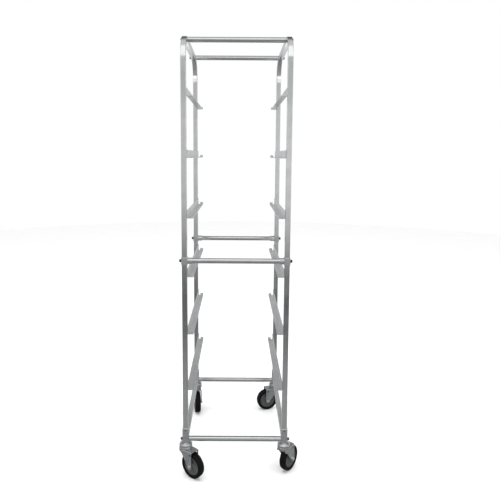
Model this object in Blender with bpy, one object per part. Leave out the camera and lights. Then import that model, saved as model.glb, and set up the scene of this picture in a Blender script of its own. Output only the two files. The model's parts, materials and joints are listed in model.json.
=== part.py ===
"""Sheet pan rack: two bent side frames joined by six round cross bars, with six
levels of angle runners, on four swivel casters.

Metres, +Z up. The front of the rack faces -Y. The origin is on the floor, midway
between the four legs.
"""

import math

import bmesh
import bpy
from mathutils import Matrix, Vector

# ---- Driving dimensions -------------------------------------------------------

RACK_WIDTH = 0.521          # over the outer faces of the side frames
LEG_SPACING = 0.635         # front leg centre to rear leg centre
RACK_HEIGHT = 2.172         # floor to the top of the side frames
TUBE = 0.0254               # square tube of the side frames and side rails
TUBE_WALL = 0.0018
TUBE_CORNER = 0.0026        # outer corner radius of the square tube
BEND_RADIUS = 0.102         # centre line of the bent top corners
BAR_DIAMETER = 0.0254       # round cross bars
BAR_WALL = 0.0018
BAR_PLUG = 0.014            # length of the tapped plug closing each bar's end
BAR_INSET = BEND_RADIUS + 0.002    # top bars, from the leg centre line inwards
GAP = 0.0003                # between faces that touch

RUNNER_LEVELS = 6
RUNNER_LEDGE = 0.030        # horizontal leg of the angle
RUNNER_FLANGE = 0.038       # vertical leg of the angle
RUNNER_THICKNESS = 0.003
RUNNER_LENGTH = 0.660
STOP_HEIGHT = 0.012         # upturned tab at the rear end of a ledge
STOP_NOTCH = 0.009          # left open between the tab and the flange

SADDLE_HEIGHT = 0.036       # collar of the middle bars round each leg
SADDLE_WALL = 0.0026
SADDLE_SOCKET_LENGTH = 0.022
SADDLE_SOCKET_WALL = 0.0026

BOLT_SHANK_RADIUS = 0.0039
BOLT_HOLE_RADIUS = 0.0043
BOLT_HEAD_RADIUS = 0.0072
BOLT_HEAD_HEIGHT = 0.0080
BOLT_WASHER_RADIUS = 0.0092
BOLT_WASHER_THICKNESS = 0.0016
BOLT_DEPTH_IN_BAR = 0.012

SOCKET_WALL = 0.0028        # square sleeve round each leg end
SOCKET_LENGTH = 0.074
SOCKET_FLOOR = 0.004
SOCKET_CORNER = 0.004

WHEEL_RADIUS = 0.0635
WHEEL_WIDTH = 0.034
WHEEL_SHOULDER = 0.0055     # round-over of the tread's edge
WHEEL_TREAD = 0.0175        # thickness of the tread on its core
WHEEL_DISH = 0.0045         # depth of the core's rim below the tread's side
WHEEL_HUB_RADIUS = 0.016
WHEEL_HUB_WIDTH = 0.038
WHEEL_BORE_RADIUS = 0.0062
AXLE_RADIUS = 0.0057
AXLE_HOLE_RADIUS = 0.0061
AXLE_HEAD_RADIUS = 0.0095
AXLE_HEAD_HEIGHT = 0.0052
CASTER_OFFSET = 0.048       # swivel axis to axle
FORK_SHEET = 0.003
FORK_SIDE_CLEARANCE = 0.0045  # from the hub's end to a cheek
FORK_CLEARANCE = 0.0105     # from the wheel's top to the crown
FORK_AXLE_BOSS = 0.012      # radius of a cheek round the axle
FORK_CROWN_BACK = 0.034     # radius of the crown's round end, behind the swivel axis
FORK_WAIST_DROP = 0.019     # cheek's back edge: first slope, down and forwards
FORK_WAIST_RUN = 0.028
FORK_HOLE_RADIUS = 0.005    # round hole in each cheek, above the wheel
FORK_HOLE_DROP = 0.0165
RACEWAY_RADIUS = 0.0325
RACEWAY_HEIGHT = 0.0195     # from the crown to the rim where the dome begins
RACEWAY_CLEARANCE = 0.0006  # between the raceway and the turning crown
DOME_TOP_RADIUS = 0.0200    # the dome narrows to this under the leg socket
DOME_RISE = 0.0108
STEM_CLEARANCE = 0.0004     # from the stem to the inside of the leg
STEM_LENGTH_IN_LEG = 0.045
KINGPIN_RADIUS = 0.006
KINGPIN_HOLE_RADIUS = 0.0065
KINGPIN_HEAD_RADIUS = 0.0085
KINGPIN_HEAD_HEIGHT = 0.0035

# Heading of each caster at rest, in degrees from +X towards +Y: from the swivel
# axis to the axle.
CASTER_HEADINGS = {
    "front_left": -38.0,
    "front_right": 52.0,
    "rear_left": -80.0,
    "rear_right": 194.0,
}

# From midway between the four legs to the middle of the footprint that the rack has
# with its casters at those headings. The origin is put there, on the floor.
FOOTPRINT_MIDDLE = (0.020, -0.023)

# ---- Derived places -----------------------------------------------------------

STEM_RADIUS = TUBE / 2 - TUBE_WALL - STEM_CLEARANCE
WHEEL_RIM_RADIUS = WHEEL_RADIUS - WHEEL_TREAD
FORK_TOP = 2 * WHEEL_RADIUS + FORK_CLEARANCE + FORK_SHEET
RACEWAY_TOP = FORK_TOP + RACEWAY_HEIGHT
SOCKET_BOTTOM = RACEWAY_TOP + 0.012
SOCKET_TOP = SOCKET_BOTTOM + SOCKET_LENGTH
BOTTOM_BAR_HEIGHT = SOCKET_BOTTOM + TUBE / 2 + 0.0013
RUNNER_LOWEST = BOTTOM_BAR_HEIGHT + 0.263      # underside of the lowest ledge
RUNNER_PITCH = (RACK_HEIGHT - 0.2905 - RUNNER_LOWEST) / (RUNNER_LEVELS - 1)
MIDDLE_BAR_HEIGHT = RUNNER_LOWEST + 2 * RUNNER_PITCH + 0.079
LEG_X = RACK_WIDTH / 2 - TUBE / 2
LEG_Y = LEG_SPACING / 2
INNER_FACE_X = LEG_X - TUBE / 2
TOP_CENTRE = RACK_HEIGHT - TUBE / 2
SOCKET_HALF = TUBE / 2 + GAP + SOCKET_WALL
SADDLE_HALF = TUBE / 2 + GAP + SADDLE_WALL
LEG_BOTTOM = SOCKET_BOTTOM + SOCKET_FLOOR + GAP
CHEEK_INNER = WHEEL_HUB_WIDTH / 2 + FORK_SIDE_CLEARANCE
CHEEK_OUTER = CHEEK_INNER + FORK_SHEET
SIDES = {"left": -1, "right": 1}
ENDS = {"front": -1, "rear": 1}
BAR_PLACES = {
    "top": (LEG_Y - BAR_INSET, TOP_CENTRE),
    "middle": (LEG_Y, MIDDLE_BAR_HEIGHT),
    "bottom": (LEG_Y, BOTTOM_BAR_HEIGHT),
}
BAR_SEAT = {                # half width of what stands round the leg at each bar
    "top": TUBE / 2,
    "middle": SADDLE_HALF,
    "bottom": SOCKET_HALF,
}
UPRIGHT = 0.999             # least Z of an upright edge's direction
BEND_STEPS = 10
BOSS_STEPS = 6
BOLT_SEGMENTS = 10
BAR_SEGMENTS = 16
PIN_SEGMENTS = 12
WHEEL_SEGMENTS = 32

COLLECTION = "sheet_pan_rack"
CUTTERS = "cutters"


# ---- Scene and material helpers -----------------------------------------------

def clear_scene():
    for obj in list(bpy.data.objects):
        bpy.data.objects.remove(obj, do_unlink=True)


def new_collection(name):
    collection = bpy.data.collections.new(name)
    bpy.context.scene.collection.children.link(collection)
    return collection


def material(name, colour, roughness, metallic):
    made = bpy.data.materials.new(name)
    made.use_nodes = True
    shader = made.node_tree.nodes["Principled BSDF"]
    shader.inputs["Base Color"].default_value = (*colour, 1.0)
    shader.inputs["Roughness"].default_value = roughness
    shader.inputs["Metallic"].default_value = metallic
    return made


def add_object(name, shape, finish, collection):
    """The bmesh as an object, shaded smooth over its round faces."""
    mesh = bpy.data.meshes.new(name)
    bmesh.ops.remove_doubles(shape, verts=shape.verts, dist=1e-6)
    bmesh.ops.recalc_face_normals(shape, faces=shape.faces)
    shape.to_mesh(mesh)
    shape.free()
    mesh.shade_smooth()
    mesh.set_sharp_from_angle(angle=math.radians(35))
    mesh.materials.append(finish)
    obj = bpy.data.objects.new(name, mesh)
    collection.objects.link(obj)
    return obj


def copy_object(source, name, collection, matrix):
    obj = bpy.data.objects.new(name, source.data)
    collection.objects.link(obj)
    obj.matrix_world = matrix
    return obj


def move(shape, vector, verts=None):
    bmesh.ops.translate(shape, vec=vector, verts=verts or shape.verts)


def add_box(shape, low, high):
    low, high = Vector(low), Vector(high)
    made = bmesh.ops.create_cube(shape, size=1.0)["verts"]
    bmesh.ops.scale(shape, vec=high - low, verts=made)
    bmesh.ops.translate(shape, vec=(low + high) / 2, verts=made)
    return made


def add_cylinder(shape, radius, start, end, segments):
    """A closed cylinder whose axis runs from start to end."""
    start, end = Vector(start), Vector(end)
    along = end - start
    turn = along.to_track_quat("Z", "Y").to_matrix().to_4x4()
    place = Matrix.Translation((start + end) / 2) @ turn
    return bmesh.ops.create_cone(
        shape, cap_ends=True, segments=segments, radius1=radius, radius2=radius,
        depth=along.length, matrix=place)["verts"]


def turned(profile, segments, closed=True):
    """A profile of (radius, height) points turned round +Z."""
    shape = bmesh.new()
    points = [shape.verts.new((radius, 0.0, height)) for radius, height in profile]
    pairs = list(zip(points, points[1:] + points[:1])) if closed else list(zip(points, points[1:]))
    edges = [shape.edges.new(pair) for pair in pairs]
    bmesh.ops.spin(
        shape, geom=points + edges, cent=(0, 0, 0), axis=(0, 0, 1),
        angle=2 * math.pi, steps=segments, use_merge=True)
    bmesh.ops.remove_doubles(shape, verts=shape.verts, dist=1e-6)
    return shape


def boolean(obj, shape, operation="DIFFERENCE"):
    """Joins the shape to the object, cuts it away, or keeps what both hold."""
    mesh = bpy.data.meshes.new(obj.name + "_tool")
    bmesh.ops.recalc_face_normals(shape, faces=shape.faces)
    shape.to_mesh(mesh)
    shape.free()
    tool = bpy.data.objects.new(obj.name + "_tool", mesh)
    bpy.data.collections[CUTTERS].objects.link(tool)
    tool.hide_render = True
    tool.display_type = "WIRE"
    modifier = obj.modifiers.new(operation.lower(), "BOOLEAN")
    modifier.operation = operation
    modifier.object = tool
    modifier.solver = "EXACT"


def bevel_upright_edges(shape, radius, segments=2):
    edges = [
        edge for edge in shape.edges
        if abs((edge.verts[0].co - edge.verts[1].co).normalized().z) > UPRIGHT]
    bmesh.ops.bevel(
        shape, geom=edges, offset=radius, offset_type="OFFSET",
        affect="EDGES", segments=segments, profile=0.5, material=-1)


# ---- Side frames and rails ----------------------------------------------------

def tube_section(shape):
    """The square tube's wall, cut across, as faces in the XY plane round the origin."""
    bmesh.ops.create_grid(shape, x_segments=1, y_segments=1, size=TUBE / 2)
    bmesh.ops.bevel(
        shape, geom=list(shape.verts), offset=TUBE_CORNER, offset_type="OFFSET",
        affect="VERTICES", segments=2, profile=0.5, material=-1)
    middle = list(shape.faces)
    bmesh.ops.inset_individual(
        shape, faces=middle, thickness=TUBE_WALL, use_even_offset=True)
    bmesh.ops.delete(shape, geom=middle, context="FACES_ONLY")
    return list(shape.faces)


def pulled_out(shape, faces):
    """Extrudes the faces in place, and returns the new faces and their corners."""
    edges = {edge for face in faces for edge in face.edges}
    made = bmesh.ops.extrude_face_region(shape, geom=[*faces, *edges])["geom"]
    ends = [item for item in made if isinstance(item, bmesh.types.BMFace)]
    verts = [item for item in made if isinstance(item, bmesh.types.BMVert)]
    return ends, verts


def extruded(shape, faces, vector):
    """Extrudes the faces by a straight run, and returns the new end."""
    faces, verts = pulled_out(shape, faces)
    bmesh.ops.translate(shape, vec=vector, verts=verts)
    return faces


def bent(shape, faces, centre, angle, steps):
    """Carries the tube's open end round a bend in the YZ plane."""
    for _ in range(steps):
        faces, verts = pulled_out(shape, faces)
        bmesh.ops.rotate(
            shape, cent=centre, matrix=Matrix.Rotation(angle / steps, 3, "X"), verts=verts)
    return faces


def side_frame(side):
    """The inverted U of square tube: a leg, a bend, the top run, a bend and a leg."""
    x = SIDES[side] * LEG_X
    bend_bottom = TOP_CENTRE - BEND_RADIUS
    shape = bmesh.new()
    end = tube_section(shape)
    move(shape, (x, -LEG_Y, LEG_BOTTOM))
    end = extruded(shape, end, (0, 0, bend_bottom - LEG_BOTTOM))
    end = bent(shape, end, (x, -LEG_Y + BEND_RADIUS, bend_bottom), -math.pi / 2, BEND_STEPS)
    end = extruded(shape, end, (0, LEG_SPACING - 2 * BEND_RADIUS, 0))
    end = bent(shape, end, (x, LEG_Y - BEND_RADIUS, bend_bottom), -math.pi / 2, BEND_STEPS)
    extruded(shape, end, (0, 0, LEG_BOTTOM - bend_bottom))
    return shape


def frame_bolt_holes(side):
    """A cylinder through the side frame at each cross bar."""
    x = SIDES[side] * LEG_X
    shape = bmesh.new()
    for y, z in BAR_PLACES.values():
        for end in ENDS.values():
            add_cylinder(
                shape, BOLT_HOLE_RADIUS, (x - TUBE, end * y, z), (x + TUBE, end * y, z),
                BOLT_SEGMENTS)
    return shape


def side_rail():
    """The straight rail between the front and rear leg sleeves, along Y."""
    half = LEG_Y - SOCKET_HALF - GAP
    shape = bmesh.new()
    end = tube_section(shape)
    move(shape, (0, 0, -half))
    extruded(shape, end, (0, 0, 2 * half))
    bmesh.ops.rotate(
        shape, cent=(0, 0, 0), matrix=Matrix.Rotation(math.pi / 2, 3, "X"), verts=shape.verts)
    return shape


# ---- Runners ------------------------------------------------------------------

def runner():
    """A left-hand angle runner: flange on the legs, ledge towards the middle.

    X = 0 is the flange's back, Z = 0 the ledge's underside."""
    shape = bmesh.new()
    outline = [
        (0, 0), (RUNNER_LEDGE, 0), (RUNNER_LEDGE, RUNNER_THICKNESS),
        (RUNNER_THICKNESS, RUNNER_THICKNESS), (RUNNER_THICKNESS, RUNNER_FLANGE),
        (0, RUNNER_FLANGE),
    ]
    corners = [shape.verts.new((x, -RUNNER_LENGTH / 2, z)) for x, z in outline]
    shape.faces.new(corners)
    bmesh.ops.bevel(
        shape, geom=corners[:1], offset=RUNNER_THICKNESS, offset_type="OFFSET",
        affect="VERTICES", segments=3, profile=0.5, material=-1)
    extruded(shape, list(shape.faces), (0, RUNNER_LENGTH, 0))
    return shape


def runner_stop():
    """The tab bent up from the rear end of the ledge, as a block to join on."""
    shape = bmesh.new()
    rear = RUNNER_LENGTH / 2
    add_box(
        shape,
        (RUNNER_THICKNESS + STOP_NOTCH, rear - RUNNER_THICKNESS, RUNNER_THICKNESS / 2),
        (RUNNER_LEDGE, rear, RUNNER_THICKNESS + STOP_HEIGHT))
    return shape


# ---- Cross bars, saddles and bolts --------------------------------------------

def bar_half(kind):
    """Half the length of a bar, which butts on whatever stands round the legs."""
    return LEG_X - BAR_SEAT[kind] - GAP


def cross_bar(kind):
    """A round tube along X whose ends are closed by tapped plugs."""
    half = bar_half(kind)
    outer, inner = BAR_DIAMETER / 2, BAR_DIAMETER / 2 - BAR_WALL
    shape = turned(
        [(BOLT_HOLE_RADIUS, half), (outer, half), (outer, -half), (BOLT_HOLE_RADIUS, -half),
         (BOLT_HOLE_RADIUS, BAR_PLUG - half), (inner, BAR_PLUG - half),
         (inner, half - BAR_PLUG), (BOLT_HOLE_RADIUS, half - BAR_PLUG)],
        BAR_SEGMENTS)
    bmesh.ops.rotate(
        shape, cent=(0, 0, 0), matrix=Matrix.Rotation(math.pi / 2, 3, "Y"), verts=shape.verts)
    return shape


def saddle_collar():
    """The square collar round a left leg, centred on the leg."""
    shape = bmesh.new()
    add_box(
        shape, (-SADDLE_HALF, -SADDLE_HALF, -SADDLE_HEIGHT / 2),
        (SADDLE_HALF, SADDLE_HALF, SADDLE_HEIGHT / 2))
    bevel_upright_edges(shape, TUBE_CORNER + SADDLE_WALL)
    return shape


def saddle_socket():
    """The round boss on the collar's inner side, which the bar's end fits in."""
    shape = bmesh.new()
    add_cylinder(
        shape, BAR_DIAMETER / 2 + GAP + SADDLE_SOCKET_WALL, (0, 0, 0),
        (SADDLE_HALF + SADDLE_SOCKET_LENGTH, 0, 0), BAR_SEGMENTS)
    return shape


def saddle_bar_hole():
    shape = bmesh.new()
    add_cylinder(
        shape, BAR_DIAMETER / 2 + GAP, (SADDLE_HALF, 0, 0),
        (2 * SADDLE_HALF + SADDLE_SOCKET_LENGTH, 0, 0), BAR_SEGMENTS)
    return shape


def leg_hole(low, high):
    """What the leg's square tube takes out of a piece round it."""
    half = TUBE / 2 + GAP
    shape = bmesh.new()
    add_box(shape, (-half, -half, low), (half, half, high))
    bevel_upright_edges(shape, TUBE_CORNER)
    return shape


def bolt_hole(z):
    shape = bmesh.new()
    add_cylinder(
        shape, BOLT_HOLE_RADIUS, (-2 * SADDLE_HALF, 0, z), (2 * SADDLE_HALF, 0, z),
        BOLT_SEGMENTS)
    return shape


def bolt(kind):
    """A bolt and its washer along +X, from its seat at X = 0 into the bar's plug."""
    through = 2 * BAR_SEAT[kind] + GAP + BOLT_DEPTH_IN_BAR
    face = GAP + BOLT_WASHER_THICKNESS
    shape = turned(
        [(0.0, face + BOLT_HEAD_HEIGHT), (BOLT_HEAD_RADIUS, face + BOLT_HEAD_HEIGHT),
         (BOLT_HEAD_RADIUS, face), (BOLT_WASHER_RADIUS, face), (BOLT_WASHER_RADIUS, GAP),
         (BOLT_SHANK_RADIUS, GAP), (BOLT_SHANK_RADIUS, -through), (0.0, -through)],
        BOLT_SEGMENTS, closed=False)
    bmesh.ops.rotate(
        shape, cent=(0, 0, 0), matrix=Matrix.Rotation(-math.pi / 2, 3, "Y"), verts=shape.verts)
    return shape


# ---- Leg sockets and casters --------------------------------------------------

def leg_socket():
    """The square sleeve round a leg's end, closed below but for the stem's hole."""
    shape = bmesh.new()
    add_box(
        shape, (-SOCKET_HALF, -SOCKET_HALF, SOCKET_BOTTOM),
        (SOCKET_HALF, SOCKET_HALF, SOCKET_TOP))
    bevel_upright_edges(shape, SOCKET_CORNER)
    return shape


def stem_hole():
    shape = bmesh.new()
    add_cylinder(
        shape, STEM_RADIUS + GAP, (0, 0, SOCKET_BOTTOM - SOCKET_FLOOR),
        (0, 0, SOCKET_BOTTOM + 2 * SOCKET_FLOOR), BAR_SEGMENTS)
    return shape


def caster_stem():
    """Stem, dome, raceway and kingpin: the part of a caster that doesn't swivel."""
    flange_top = SOCKET_BOTTOM - GAP
    raceway_bottom = FORK_TOP + RACEWAY_CLEARANCE
    head_top = FORK_TOP - FORK_SHEET - RACEWAY_CLEARANCE
    head_bottom = head_top - KINGPIN_HEAD_HEIGHT
    stem_top = SOCKET_BOTTOM + STEM_LENGTH_IN_LEG
    return turned(
        [(0.0, stem_top), (STEM_RADIUS, stem_top), (STEM_RADIUS, flange_top),
         (DOME_TOP_RADIUS, flange_top), (DOME_TOP_RADIUS, RACEWAY_TOP + DOME_RISE),
         (RACEWAY_RADIUS, RACEWAY_TOP), (RACEWAY_RADIUS, raceway_bottom),
         (KINGPIN_RADIUS, raceway_bottom), (KINGPIN_RADIUS, head_top),
         (KINGPIN_HEAD_RADIUS, head_top), (KINGPIN_HEAD_RADIUS, head_bottom),
         (0.0, head_bottom)],
        BAR_SEGMENTS, closed=False)


def fork_channel():
    """The fork's bent sheet before its cheeks are trimmed, heading along +X."""
    back = -FORK_CROWN_BACK - FORK_SHEET
    front = CASTER_OFFSET + FORK_AXLE_BOSS + FORK_SHEET
    bottom = WHEEL_RADIUS - FORK_AXLE_BOSS - FORK_SHEET
    shape = bmesh.new()
    outline = [
        (-CHEEK_OUTER, bottom), (-CHEEK_OUTER, FORK_TOP), (CHEEK_OUTER, FORK_TOP),
        (CHEEK_OUTER, bottom), (CHEEK_INNER, bottom), (CHEEK_INNER, FORK_TOP - FORK_SHEET),
        (-CHEEK_INNER, FORK_TOP - FORK_SHEET), (-CHEEK_INNER, bottom),
    ]
    corners = [shape.verts.new((back, y, z)) for y, z in outline]
    shape.faces.new(corners)
    bmesh.ops.bevel(
        shape, geom=corners[1:3], offset=FORK_SHEET, offset_type="OFFSET",
        affect="VERTICES", segments=2, profile=0.5, material=-1)
    extruded(shape, list(shape.faces), (front - back, 0, 0))
    return shape


def fork_outline():
    """The fork seen from the side: wide under the crown, narrow round the axle."""
    top = FORK_TOP + FORK_SHEET
    waist = (FORK_WAIST_RUN - FORK_CROWN_BACK, FORK_TOP - FORK_SHEET - FORK_WAIST_DROP)
    reach = Vector((CASTER_OFFSET, WHEEL_RADIUS)) - Vector(waist)
    lean = math.asin(FORK_AXLE_BOSS / reach.length)
    toward = math.atan2(reach.y, reach.x)
    first = toward - lean - math.pi / 2
    boss = []
    for step in range(BOSS_STEPS + 1):
        angle = first * (1 - step / BOSS_STEPS)
        boss.append((
            CASTER_OFFSET + FORK_AXLE_BOSS * math.cos(angle),
            WHEEL_RADIUS + FORK_AXLE_BOSS * math.sin(angle)))
    outline = [
        (-FORK_CROWN_BACK, top), (-FORK_CROWN_BACK, FORK_TOP - FORK_SHEET), waist, *boss,
        (CASTER_OFFSET + FORK_AXLE_BOSS, top),
    ]
    shape = bmesh.new()
    half = 2 * CHEEK_OUTER
    shape.faces.new([shape.verts.new((x, -half, z)) for x, z in outline])
    extruded(shape, list(shape.faces), (0, 2 * half, 0))
    return shape


def fork_plan():
    """The fork seen from above: its crown ends in a half circle behind the swivel axis."""
    front = CASTER_OFFSET + 2 * FORK_AXLE_BOSS
    outline = [(front, -FORK_CROWN_BACK), (front, FORK_CROWN_BACK)]
    for step in range(2 * BOSS_STEPS + 1):
        angle = math.pi / 2 + math.pi * step / (2 * BOSS_STEPS)
        outline.append((FORK_CROWN_BACK * math.cos(angle), FORK_CROWN_BACK * math.sin(angle)))
    shape = bmesh.new()
    shape.faces.new([shape.verts.new((x, y, 0)) for x, y in outline])
    extruded(shape, list(shape.faces), (0, 0, FORK_TOP + 2 * FORK_SHEET))
    return shape


def fork_raceway():
    """The round lower raceway pressed into the crown, as a disc to join on."""
    shape = bmesh.new()
    add_cylinder(
        shape, RACEWAY_RADIUS, (0, 0, FORK_TOP - FORK_SHEET + GAP), (0, 0, FORK_TOP - GAP),
        2 * PIN_SEGMENTS)
    return shape


def fork_holes():
    """Kingpin hole, axle holes and the round hole high in each cheek."""
    across = 2 * CHEEK_OUTER
    shape = bmesh.new()
    add_cylinder(
        shape, KINGPIN_HOLE_RADIUS, (0, 0, FORK_TOP - 2 * FORK_SHEET),
        (0, 0, FORK_TOP + FORK_SHEET), PIN_SEGMENTS)
    add_cylinder(
        shape, AXLE_HOLE_RADIUS, (CASTER_OFFSET, -across, WHEEL_RADIUS),
        (CASTER_OFFSET, across, WHEEL_RADIUS), PIN_SEGMENTS)
    add_cylinder(
        shape, FORK_HOLE_RADIUS, (CASTER_OFFSET, -across, FORK_TOP - FORK_HOLE_DROP),
        (CASTER_OFFSET, across, FORK_TOP - FORK_HOLE_DROP), PIN_SEGMENTS)
    return shape


def caster_axle():
    """The axle bolt along Y, with its head and nut outside the cheeks."""
    seat = CHEEK_OUTER + GAP
    end = seat + AXLE_HEAD_HEIGHT
    shape = turned(
        [(0.0, end), (AXLE_HEAD_RADIUS, end), (AXLE_HEAD_RADIUS, seat), (AXLE_RADIUS, seat),
         (AXLE_RADIUS, -seat), (AXLE_HEAD_RADIUS, -seat), (AXLE_HEAD_RADIUS, -end), (0.0, -end)],
        PIN_SEGMENTS, closed=False)
    bmesh.ops.rotate(
        shape, cent=(0, 0, 0), matrix=Matrix.Rotation(math.pi / 2, 3, "X"), verts=shape.verts)
    return shape


def caster_wheel():
    """The wheel about its own centre, its axle along Y."""
    half, hub = WHEEL_WIDTH / 2, WHEEL_HUB_WIDTH / 2
    side = [
        (WHEEL_BORE_RADIUS, hub), (WHEEL_HUB_RADIUS, hub),
        (WHEEL_RIM_RADIUS, half - WHEEL_DISH), (WHEEL_RADIUS - WHEEL_SHOULDER, half),
        (WHEEL_RADIUS, half - WHEEL_SHOULDER),
    ]
    shape = turned(side + [(radius, -y) for radius, y in reversed(side)], WHEEL_SEGMENTS)
    bmesh.ops.rotate(
        shape, cent=(0, 0, 0), matrix=Matrix.Rotation(math.pi / 2, 3, "X"), verts=shape.verts)
    return shape


# ---- The rack -----------------------------------------------------------------

def plain_mesh(obj):
    """The object with its modifiers made part of its mesh, so that copies can share it."""
    bpy.context.view_layer.update()
    graph = bpy.context.evaluated_depsgraph_get()
    mesh = bpy.data.meshes.new_from_object(obj.evaluated_get(graph), depsgraph=graph)
    mesh.shade_smooth()
    mesh.set_sharp_from_angle(angle=math.radians(35))
    obj.modifiers.clear()
    obj.data = mesh
    return obj


def turned_about(side):
    """A left-hand piece turned half round for the right, about the rack's axis."""
    return Matrix.Rotation(math.pi if side == "right" else 0.0, 4, "Z")


def build_frames(rack, finish):
    for side in SIDES:
        frame = add_object(f"side_frame_{side}", side_frame(side), finish["tube"], rack)
        boolean(frame, frame_bolt_holes(side))
    rail = None
    for side, sign in SIDES.items():
        place = Matrix.Translation((sign * LEG_X, 0, BOTTOM_BAR_HEIGHT))
        if rail is None:
            rail = add_object(f"side_rail_{side}", side_rail(), finish["tube"], rack)
            rail.matrix_world = place
        else:
            copy_object(rail, f"side_rail_{side}", rack, place)


def build_runners(rack, finish):
    """The six levels, numbered from the top; the right ones mirror the left."""
    made = add_object("runner_1_left", runner(), finish["runner"], rack)
    boolean(made, runner_stop(), "UNION")
    left = plain_mesh(made)
    mirrored = left.data.copy()
    mirrored.transform(Matrix.Scale(-1, 4, (1, 0, 0)))
    mirrored.flip_normals()
    for level in range(RUNNER_LEVELS):
        height = RUNNER_LOWEST + (RUNNER_LEVELS - 1 - level) * RUNNER_PITCH
        for side, sign in SIDES.items():
            name = f"runner_{level + 1}_{side}"
            place = Matrix.Translation((sign * (INNER_FACE_X - GAP), 0, height))
            if level == 0 and side == "left":
                left.matrix_world = place
                continue
            obj = copy_object(left, name, rack, place)
            if side == "right":
                obj.data = mirrored


def build_bars(rack, finish):
    for kind, (y, z) in BAR_PLACES.items():
        bar = None
        for end, sign in ENDS.items():
            place = Matrix.Translation((0, sign * y, z))
            name = f"{kind}_bar_{end}"
            if bar is None:
                bar = add_object(name, cross_bar(kind), finish["bar"], rack)
                bar.matrix_world = place
            else:
                copy_object(bar, name, rack, place)


def build_saddles(rack, finish):
    saddle = None
    for end, front in ENDS.items():
        for side, sign in SIDES.items():
            name = f"saddle_{end}_{side}"
            place = Matrix.Translation((sign * LEG_X, front * LEG_Y, MIDDLE_BAR_HEIGHT))
            if saddle is None:
                saddle = add_object(name, saddle_collar(), finish["cast"], rack)
                boolean(saddle, saddle_socket(), "UNION")
                boolean(saddle, leg_hole(-SADDLE_HEIGHT, SADDLE_HEIGHT))
                boolean(saddle, saddle_bar_hole())
                boolean(saddle, bolt_hole(0.0))
                plain_mesh(saddle)
                saddle.matrix_world = place
            else:
                copy_object(saddle, name, rack, place @ turned_about(side))


def build_bolts(rack, finish):
    for kind, (y, z) in BAR_PLACES.items():
        source = None
        for end, front in ENDS.items():
            for side, sign in SIDES.items():
                name = f"bolt_{kind}_{end}_{side}"
                seat = Vector((sign * (LEG_X + BAR_SEAT[kind]), front * y, z))
                place = Matrix.Translation(seat) @ turned_about(side)
                if source is None:
                    source = add_object(name, bolt(kind), finish["bolt"], rack)
                    source.matrix_world = place
                else:
                    copy_object(source, name, rack, place)


def build_leg_sockets(rack, finish):
    socket = None
    for end, front in ENDS.items():
        for side, sign in SIDES.items():
            name = f"leg_socket_{end}_{side}"
            place = Matrix.Translation((sign * LEG_X, front * LEG_Y, 0))
            if socket is None:
                socket = add_object(name, leg_socket(), finish["cast"], rack)
                boolean(socket, leg_hole(SOCKET_BOTTOM + SOCKET_FLOOR, 2 * SOCKET_TOP))
                boolean(socket, stem_hole())
                boolean(socket, bolt_hole(BOTTOM_BAR_HEIGHT))
                plain_mesh(socket)
                socket.matrix_world = place
            else:
                copy_object(socket, name, rack, place)


def build_casters(rack, finish):
    """Four casters, each stem under a leg and each fork turned to its heading."""
    fork = add_object("fork_source", fork_channel(), finish["fork"], rack)
    boolean(fork, fork_outline(), "INTERSECT")
    boolean(fork, fork_plan(), "INTERSECT")
    boolean(fork, fork_raceway(), "UNION")
    boolean(fork, fork_holes())
    plain_mesh(fork)
    stem = add_object("stem_source", caster_stem(), finish["fork"], rack)
    boolean(stem, bolt_hole(BOTTOM_BAR_HEIGHT))
    plain_mesh(stem)
    sources = {
        "stem": stem,
        "fork": fork,
        "axle": add_object("axle_source", caster_axle(), finish["bolt"], rack),
        "wheel": add_object("wheel_source", caster_wheel(), finish["wheel"], rack),
    }
    for corner, heading in CASTER_HEADINGS.items():
        end, side = corner.split("_")
        leg = Matrix.Translation((SIDES[side] * LEG_X, ENDS[end] * LEG_Y, 0))
        turn = leg @ Matrix.Rotation(math.radians(heading), 4, "Z")
        axle = turn @ Matrix.Translation((CASTER_OFFSET, 0, WHEEL_RADIUS))
        places = {"stem": leg, "fork": turn, "axle": axle, "wheel": axle}
        for piece, place in places.items():
            copy_object(sources[piece], f"caster_{piece}_{corner}", rack, place)
    for source in sources.values():
        bpy.data.objects.remove(source)


def centre_on_footprint():
    """Moves every piece, with the cutters of its holes, onto the final origin."""
    shift = Matrix.Translation((-FOOTPRINT_MIDDLE[0], -FOOTPRINT_MIDDLE[1], 0))
    for obj in bpy.data.objects:
        obj.matrix_world = shift @ obj.matrix_world


def build():
    clear_scene()
    rack = new_collection(COLLECTION)
    new_collection(CUTTERS)
    finish = {
        "tube": material("aluminium_tube", (0.72, 0.73, 0.74), 0.32, 1.0),
        "runner": material("aluminium_angle", (0.74, 0.75, 0.76), 0.38, 1.0),
        "bar": material("polished_bar", (0.76, 0.77, 0.78), 0.22, 1.0),
        "cast": material("cast_aluminium", (0.62, 0.63, 0.64), 0.45, 1.0),
        "bolt": material("dark_zinc", (0.24, 0.24, 0.25), 0.40, 1.0),
        "fork": material("zinc_plate", (0.55, 0.56, 0.58), 0.30, 1.0),
        "wheel": material("black_rubber", (0.03, 0.03, 0.032), 0.60, 0.0),
    }
    build_frames(rack, finish)
    build_runners(rack, finish)
    build_bars(rack, finish)
    build_saddles(rack, finish)
    build_bolts(rack, finish)
    build_leg_sockets(rack, finish)
    build_casters(rack, finish)
    centre_on_footprint()


build()
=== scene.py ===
"""Sheet pan rack: two bent tube side frames, round cross bars, angle runners and
four swivel casters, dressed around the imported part.

Metres, +Z up, the front of the rack towards -Y.
"""

import json
import math

import bmesh
import bpy
from mathutils import Matrix, Vector


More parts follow.
